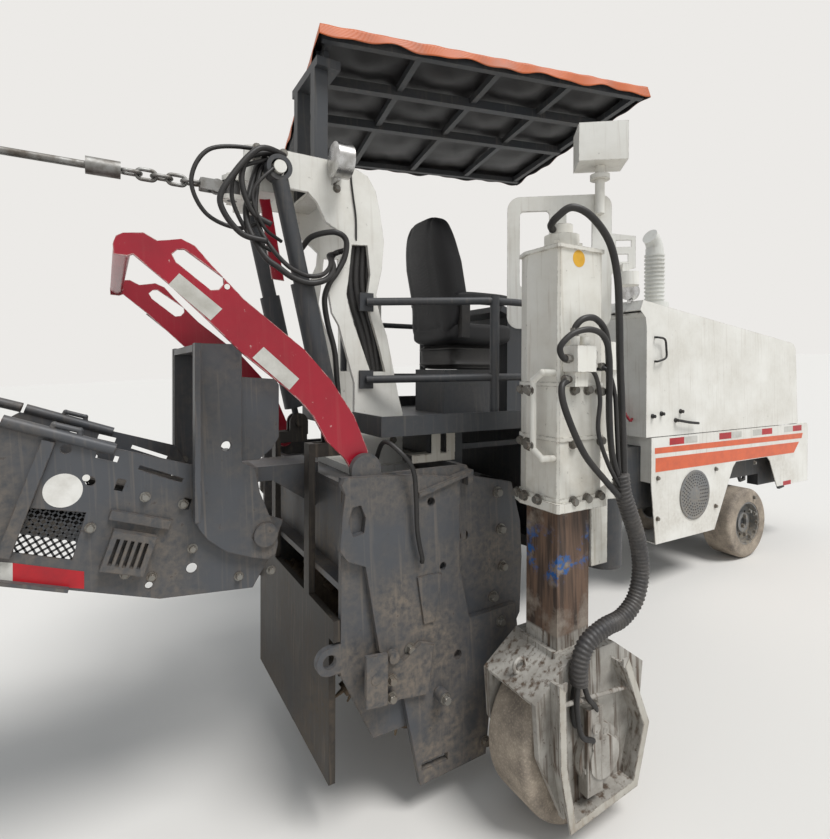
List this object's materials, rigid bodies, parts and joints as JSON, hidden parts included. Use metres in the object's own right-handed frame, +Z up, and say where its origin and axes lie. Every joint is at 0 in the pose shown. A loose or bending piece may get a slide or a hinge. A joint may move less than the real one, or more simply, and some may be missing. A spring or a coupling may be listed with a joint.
{
  "type": "cold planer milling machine",
  "caption": "Small wheeled cold planer with a milling drum between swing-out rear legs, an operator deck under a canopy, an engine hood in front and a long loading conveyor at the rear.",
  "frame": {"origin": "on the floor under the middle of the bounding box", "axes": "+X forward in the travel direction, +Y to the left, +Z up"},
  "size_m": [9.9981, 2.295, 3.1708],
  "materials": {
    "main_frame": "dark grey paint",
    "swing_bracket": "dark grey paint",
    "drum_housing": "chipped slate grey paint",
    "lower_body": "worn white paint",
    "hood": "worn white paint",
    "engine": "dark grey paint",
    "air_duct": "worn white paint",
    "tower": "worn white paint",
    "canopy_frame": "dark grey paint",
    "canopy_cover": "coated tarpaulin",
    "platform": "dark grey paint",
    "handrails": "dark grey paint",
    "seat": "black",
    "console": "dark grey paint",
    "hoop": "worn white paint",
    "tower_lamp": "bare steel",
    "hood_lamp": "bare steel",
    "front_axle": "dark grey paint",
    "knuckle_right": "dark grey paint",
    "knuckle_left": "dark grey paint",
    "tyre_front_right": "black",
    "rim_front_right": "mid grey paint",
    "tyre_front_left": "black",
    "rim_front_left": "mid grey paint",
    "tyre_rear_right": "black",
    "rim_rear_right": "mid grey paint",
    "tyre_rear_left": "black",
    "rim_rear_left": "mid grey paint",
    "column_right": "worn white paint",
    "leg_right": "worn greasy steel",
    "column_left": "worn white paint",
    "leg_left": "worn greasy steel",
    "milling_drum": "worn greasy steel",
    "edge_plate_right": "chipped slate grey paint",
    "edge_plate_left": "chipped slate grey paint",
    "scraper": "worn greasy steel",
    "hoist_barrels": "dark grey paint",
    "hoist_rods": "dark grey paint",
    "slew_frame": "chipped slate grey paint",
    "conveyor_frame": "chipped slate grey paint",
    "conveyor_belt": "black",
    "stay_rod": "bare steel",
    "guard_bow": "gloss red paint",
    "hose_bundle": "black",
    "tower_hoses": "black"
  },
  "bodies": {
    "machine": {"main_frame": "main_frame", "swing_bracket": "swing_bracket", "drum_housing": "drum_housing", "lower_body": "lower_body", "engine": "engine", "tower": "tower", "canopy_frame": "canopy_frame", "canopy_cover": "canopy_cover", "platform": "platform", "handrails": "handrails", "seat": "seat", "console": "console", "hoop": "hoop", "tower_lamp": "tower_lamp", "front_axle": "front_axle", "column_left": "column_left", "tower_hoses": "tower_hoses"},
    "hood_body": {"hood": "hood", "air_duct": "air_duct", "hood_lamp": "hood_lamp"},
    "knuckle_right_body": {"knuckle_right": "knuckle_right"},
    "knuckle_left_body": {"knuckle_left": "knuckle_left"},
    "wheel_front_right": {"tyre_front_right": "tyre_front_right", "rim_front_right": "rim_front_right"},
    "wheel_front_left": {"tyre_front_left": "tyre_front_left", "rim_front_left": "rim_front_left"},
    "wheel_rear_right": {"tyre_rear_right": "tyre_rear_right", "rim_rear_right": "rim_rear_right"},
    "wheel_rear_left": {"tyre_rear_left": "tyre_rear_left", "rim_rear_left": "rim_rear_left"},
    "swing_column": {"column_right": "column_right", "hose_bundle": "hose_bundle"},
    "leg_right_body": {"leg_right": "leg_right"},
    "leg_left_body": {"leg_left": "leg_left"},
    "drum": {"milling_drum": "milling_drum"},
    "plate_right": {"edge_plate_right": "edge_plate_right"},
    "plate_left": {"edge_plate_left": "edge_plate_left"},
    "scraper_body": {"scraper": "scraper"},
    "hoist_barrel_body": {"hoist_barrels": "hoist_barrels"},
    "hoist_rod_body": {"hoist_rods": "hoist_rods"},
    "slew_body": {"slew_frame": "slew_frame"},
    "conveyor": {"conveyor_frame": "conveyor_frame", "conveyor_belt": "conveyor_belt"},
    "stay_body": {"stay_rod": "stay_rod"},
    "bow": {"guard_bow": "guard_bow"}
  },
  "joints": [
    {"name": "hood_lift", "type": "hinge", "parent": "machine", "child": "hood_body", "pos_m": [4.80576, 0, 1.04777], "axis": [0, 1, 0], "range_deg": [0, 50]},
    {"name": "steer_right", "type": "hinge", "parent": "machine", "child": "knuckle_right_body", "pos_m": [3.93297, 0.255, 0.285], "axis": [0.0494, 0, 0.9988], "range_deg": [-25, 25]},
    {"name": "steer_left", "type": "hinge", "parent": "machine", "child": "knuckle_left_body", "pos_m": [3.93297, 0.755, 0.285], "axis": [0.0494, 0, 0.9988], "range_deg": [-25, 25]},
    {"name": "roll_front_right", "type": "hinge", "parent": "knuckle_right_body", "child": "wheel_front_right", "pos_m": [3.93297, 0.065, 0.285], "axis": [0, 1, 0], "continuous": true},
    {"name": "roll_front_left", "type": "hinge", "parent": "knuckle_left_body", "child": "wheel_front_left", "pos_m": [3.93297, 0.945, 0.285], "axis": [0, 1, 0], "continuous": true},
    {"name": "swing_in", "type": "hinge", "parent": "machine", "child": "swing_column", "pos_m": [1.46397, -0.66, 0.97293], "axis": [0.0494, 0, 0.9988], "range_deg": [0, 180]},
    {"name": "leg_right_slide", "type": "slide", "parent": "swing_column", "child": "leg_right_body", "axis": [0.0494, 0, 0.9988], "range_m": [-0.08, 0.25], "deforming": ["hose_bundle"]},
    {"name": "leg_left_slide", "type": "slide", "parent": "machine", "child": "leg_left_body", "axis": [0.0494, 0, 0.9988], "range_m": [-0.08, 0.25]},
    {"name": "roll_rear_right", "type": "hinge", "parent": "leg_right_body", "child": "wheel_rear_right", "pos_m": [0.9, -0.93, 0.3], "axis": [0, 1, 0], "continuous": true},
    {"name": "roll_rear_left", "type": "hinge", "parent": "leg_left_body", "child": "wheel_rear_left", "pos_m": [0.9, 0.93, 0.3], "axis": [0, 1, 0], "continuous": true},
    {"name": "drum_spin", "type": "hinge", "parent": "machine", "child": "drum", "pos_m": [0.46044, -0.12, 0.52201], "axis": [0, 1, 0], "continuous": true},
    {"name": "plate_right_slide", "type": "slide", "parent": "machine", "child": "plate_right", "axis": [0.0494, 0, 0.9988], "range_m": [-0.03, 0.2]},
    {"name": "plate_left_slide", "type": "slide", "parent": "machine", "child": "plate_left", "axis": [0.0494, 0, 0.9988], "range_m": [-0.03, 0.2]},
    {"name": "scraper_lift", "type": "slide", "parent": "machine", "child": "scraper_body", "axis": [0.0494, 0, 0.9988], "range_m": [0, 0.25]},
    {"name": "hoist_barrel_tilt", "type": "hinge", "parent": "scraper_body", "child": "hoist_barrel_body", "pos_m": [0.21728, -0.12, 1.4752], "axis": [0, 1, 0], "range_deg": [-6, 6]},
    {"name": "hoist_rod_slide", "type": "slide", "parent": "hoist_barrel_body", "child": "hoist_rod_body", "axis": [-0.1719, 0, 0.9851], "range_m": [-0.26, 0.05]},
    {"name": "conveyor_slew", "type": "hinge", "parent": "machine", "child": "slew_body", "pos_m": [-0.15415, -0.12, 1.25329], "axis": [0.0494, 0, 0.9988], "range_deg": [-25, 25]},
    {"name": "conveyor_lift", "type": "hinge", "parent": "slew_body", "child": "conveyor", "pos_m": [-0.10016, -0.12, 1.13047], "axis": [0, 1, 0], "range_deg": [-6, 10]},
    {"name": "stay_tilt", "type": "hinge", "parent": "slew_body", "child": "stay_body", "pos_m": [-0.15226, -0.12, 2.50473], "axis": [0, 1, 0], "range_deg": [-8, 12]},
    {"name": "bow_lift", "type": "hinge", "parent": "machine", "child": "bow", "pos_m": [0.22183, -0.12, 1.36484], "axis": [0, 1, 0], "range_deg": [-12, 6]}
  ],
  "couplings": [
    {"joint": "steer_left", "follows": "steer_right", "ratio": 1},
    {"joint": "hoist_barrel_tilt", "follows": "scraper_lift", "rad_per_m": -0.26761},
    {"joint": "hoist_rod_slide", "follows": "scraper_lift", "ratio": -0.96803},
    {"joint": "stay_tilt", "follows": "conveyor_lift", "ratio": 1.055}
  ]
}
